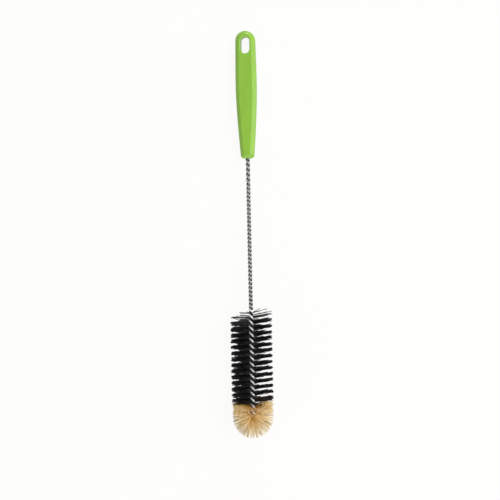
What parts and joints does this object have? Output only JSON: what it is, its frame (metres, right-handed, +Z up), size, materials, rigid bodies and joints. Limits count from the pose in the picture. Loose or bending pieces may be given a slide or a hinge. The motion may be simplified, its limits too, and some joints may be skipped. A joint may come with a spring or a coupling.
{
  "type": "bottle brush",
  "caption": "Twisted-wire bottle brush lying at rest: flat green plastic handle with a hanging slot, helical rows of black bristles and a domed tan tuft.",
  "frame": {"origin": "on the surface the brush lies on, under the middle of its length and width", "axes": "+Y runs from the tuft to the hanging end of the handle, +Z is up, out of the handle's front panel, and X is across the handle"},
  "size_m": [0.0254, 0.2497, 0.0286],
  "materials": {
    "green_plastic": "satin moulded",
    "steel_wire": "bright drawn",
    "black_nylon": "dull filament",
    "tan_bristle": "natural bristle"
  },
  "bodies": {
    "root": {"handle": "green_plastic", "twisted_wire": "steel_wire", "black_rows_1": "black_nylon", "black_rows_2": "black_nylon", "black_rows_3": "black_nylon", "black_rows_4": "black_nylon", "black_rows_5": "black_nylon", "black_rows_6": "black_nylon", "black_rows_7": "black_nylon", "black_rows_8": "black_nylon", "tan_rows": "tan_bristle", "tip_tuft": "tan_bristle"}
  },
  "joints": []
}
